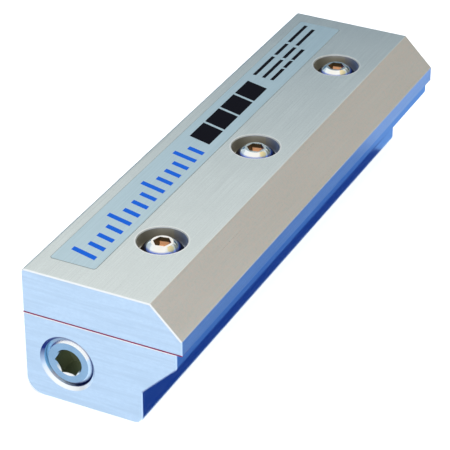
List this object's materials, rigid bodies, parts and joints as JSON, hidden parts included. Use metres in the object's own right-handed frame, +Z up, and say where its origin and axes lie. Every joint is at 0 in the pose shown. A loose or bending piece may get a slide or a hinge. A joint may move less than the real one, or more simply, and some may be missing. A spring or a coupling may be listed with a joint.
{
  "type": "compressed air knife",
  "caption": "Short compressed air knife: machined aluminium nozzle body and cap with a thin shim, button-head cap screws, a pipe plug at one end and an open air inlet at the other.",
  "frame": {"origin": "centre of the footprint, on the plane the underside stands on", "axes": "+X along the knife towards the open air inlet, -Y the way the air leaves, +Z up"},
  "size_m": [0.1524, 0.042, 0.0348],
  "materials": {
    "body_aluminium": "satin, fine machining grain",
    "cap_aluminium": "brushed along the length",
    "screw_steel": "bright stainless",
    "plug_steel": "turned stainless",
    "shim_red": "thin plastic stock",
    "label_film": "silver-grey printed film"
  },
  "bodies": {
    "root": {"body": "body_aluminium", "cap": "cap_aluminium", "shim": "shim_red", "cap_screw_1": "screw_steel", "cap_screw_2": "screw_steel", "cap_screw_3": "screw_steel", "end_plug": "plug_steel", "label": "label_film"}
  },
  "joints": []
}
